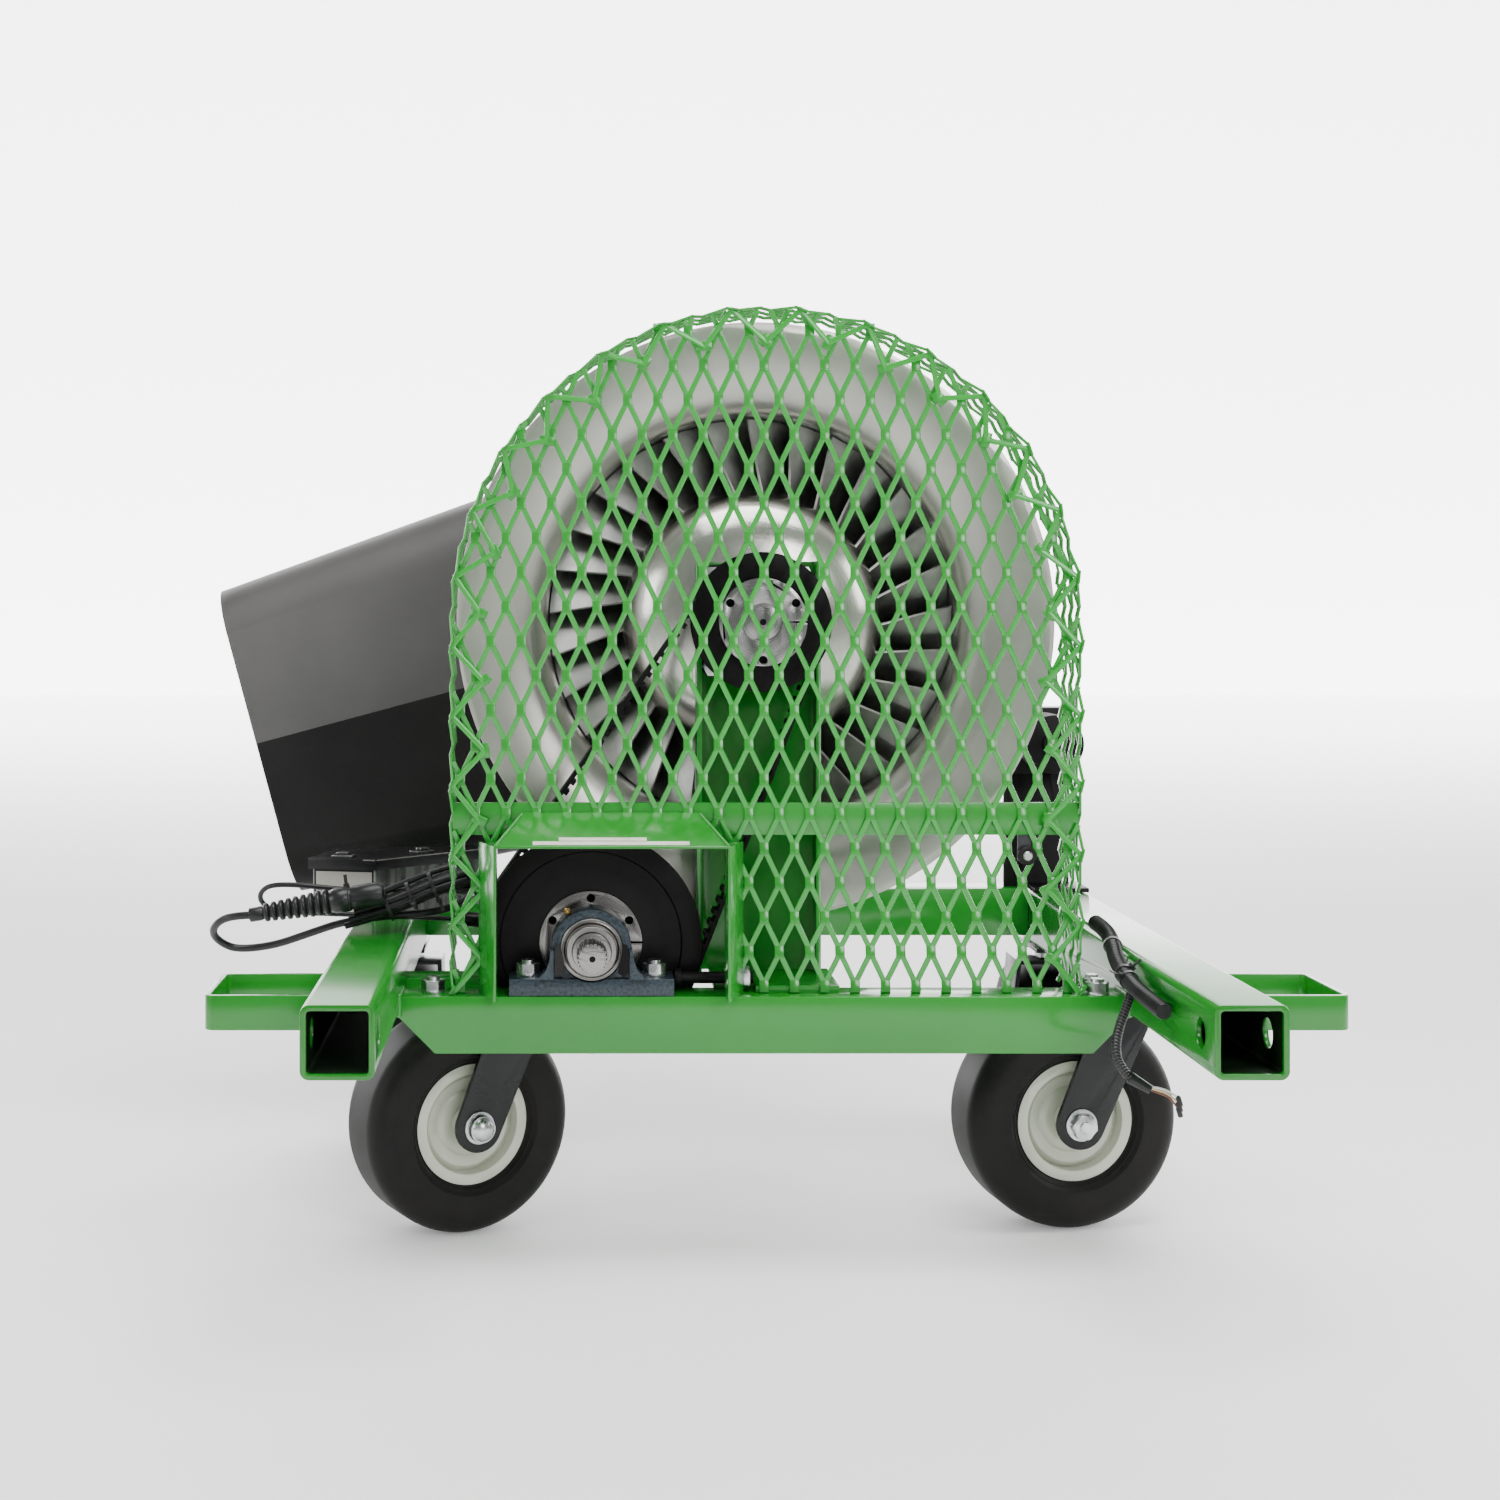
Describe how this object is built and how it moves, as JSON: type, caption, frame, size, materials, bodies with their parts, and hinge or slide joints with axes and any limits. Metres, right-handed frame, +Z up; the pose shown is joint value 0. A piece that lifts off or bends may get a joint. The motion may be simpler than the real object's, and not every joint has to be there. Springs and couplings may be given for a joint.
{
  "type": "towed turbine debris blower",
  "caption": "Wheeled debris blower: caged belt-driven turbine on a tube frame with receiver sockets, caster wheels and a swivelling side nozzle.",
  "frame": {"origin": "bottom centre of the machine's bounding box, on the ground", "axes": "+X to the right seen from the tow side, +Y from the receiver tubes' front ends to the nozzle, +Z up"},
  "size_m": [1.3614, 1.101, 1.132],
  "materials": {
    "frame_green": "gloss powder coat",
    "black_steel": "semi-gloss black paint",
    "cast_blue": "hammertone blue-grey enamel",
    "bearing_steel": "machined",
    "zinc": "zinc plated",
    "spun_aluminium": "spun, brushed in rings",
    "cast_aluminium": "cast, fettled",
    "moulded_black": "fine moulded grain",
    "box_grey": "satin",
    "box_lid_grey": "satin dark grey",
    "belt_rubber": "matt",
    "cable_black": "satin jacket",
    "rim_white": "gloss cream white",
    "tyre_black": "smooth moulded, faintly dusty"
  },
  "bodies": {
    "frame": {"side_tube_left": "frame_green", "side_tube_right": "frame_green", "front_rail": "frame_green", "rear_rail": "frame_green", "caster_rail": "frame_green", "tie_loops": "frame_green", "caster_plates": "black_steel", "rear_caster_yokes": "black_steel", "rear_axle_bolts": "zinc", "cage_front_panel": "frame_green", "cage_band": "frame_green", "cage_crossbar": "frame_green", "pto_hood": "frame_green", "pillow_block": "cast_blue", "pillow_outer_race": "bearing_steel", "bell_mouth": "spun_aluminium", "turbine_housing": "spun_aluminium", "housing_saddle": "frame_green", "stator": "spun_aluminium", "center_post": "frame_green", "flange_bearing": "black_steel", "frame_bolts": "zinc", "drive_belt": "belt_rubber", "tension_screw": "black_steel", "nozzle_belt": "belt_rubber", "nozzle_motor": "black_steel", "control_box": "box_grey", "control_cable": "cable_black", "sensor_cable": "cable_black", "harness_loom": "cable_black", "harness_lead": "cable_black", "cable_boot": "cable_black", "cable_fittings": "cable_black"},
    "rotor": {"rotor_shaft": "bearing_steel", "driven_pulley": "black_steel", "driven_bushing": "bearing_steel", "turbine_impeller": "cast_aluminium", "turbine_hub_nose": "spun_aluminium"},
    "input_shaft": {"pto_shaft": "bearing_steel", "pto_inner_race": "bearing_steel", "drive_pulley": "black_steel", "drive_bushing": "bearing_steel"},
    "nozzle": {"nozzle_upper_shell": "moulded_black", "nozzle_lower_shell": "moulded_black", "nozzle_collar": "spun_aluminium"},
    "nozzle_drive": {"motor_pulley": "black_steel"},
    "caster_left": {"caster_yoke_front_left": "black_steel", "axle_bolt_front_left": "zinc"},
    "caster_right": {"caster_yoke_front_right": "black_steel", "axle_bolt_front_right": "zinc"},
    "wheel_front_left": {"rim_front_left": "rim_white", "tyre_front_left": "tyre_black"},
    "wheel_front_right": {"rim_front_right": "rim_white", "tyre_front_right": "tyre_black"},
    "wheel_rear_left": {"rim_rear_left": "rim_white", "tyre_rear_left": "tyre_black"},
    "wheel_rear_right": {"rim_rear_right": "rim_white", "tyre_rear_right": "tyre_black"},
    "box_lid": {"control_box_lid": "box_lid_grey", "box_latches": "zinc"}
  },
  "joints": [
    {"name": "rotor_spin", "type": "hinge", "parent": "frame", "child": "rotor", "pos_m": [0.05972, -0.0265, 0.762], "axis": [0, 1, 0], "continuous": true},
    {"name": "pto_spin", "type": "hinge", "parent": "frame", "child": "input_shaft", "pos_m": [-0.14428, -0.2915, 0.381], "axis": [0, 1, 0], "continuous": true},
    {"name": "nozzle_swivel", "type": "hinge", "parent": "frame", "child": "nozzle", "pos_m": [0.05972, 0.3525, 0.762], "axis": [0, 1, 0], "range_deg": [-5, 215]},
    {"name": "nozzle_drive_spin", "type": "hinge", "parent": "frame", "child": "nozzle_drive", "pos_m": [0.49572, 0.3265, 0.59], "axis": [0, 1, 0], "range_deg": [-60, 2100]},
    {"name": "caster_left_swivel", "type": "hinge", "parent": "frame", "child": "caster_left", "pos_m": [-0.25428, 0.0015, 0.298], "axis": [0, 0, 1], "continuous": true},
    {"name": "wheel_front_left_spin", "type": "hinge", "parent": "caster_left", "child": "wheel_front_left", "pos_m": [-0.30902, -0.02761, 0.1365], "axis": [-0.4695, 0.8829, 0], "continuous": true},
    {"name": "caster_right_swivel", "type": "hinge", "parent": "frame", "child": "caster_right", "pos_m": [0.51762, 0.0015, 0.298], "axis": [0, 0, 1], "continuous": true},
    {"name": "wheel_front_right_spin", "type": "hinge", "parent": "caster_right", "child": "wheel_front_right", "pos_m": [0.45639, -0.0082, 0.1365], "axis": [-0.1564, 0.9877, 0], "continuous": true},
    {"name": "wheel_rear_left_spin", "type": "hinge", "parent": "frame", "child": "wheel_rear_left", "pos_m": [-0.40618, 0.3495, 0.1365], "axis": [1, 0, 0], "continuous": true},
    {"name": "wheel_rear_right_spin", "type": "hinge", "parent": "frame", "child": "wheel_rear_right", "pos_m": [0.51762, 0.3495, 0.1365], "axis": [1, 0, 0], "continuous": true},
    {"name": "lid_hinge", "type": "hinge", "parent": "frame", "child": "box_lid", "pos_m": [-0.39049, 0.15787, 0.4412], "axis": [-0.9664, -0.257, 0], "range_deg": [0, 110]}
  ],
  "couplings": [
    {"joint": "pto_spin", "follows": "rotor_spin", "ratio": 0.58621},
    {"joint": "nozzle_drive_spin", "follows": "nozzle_swivel", "ratio": 9.4}
  ]
}
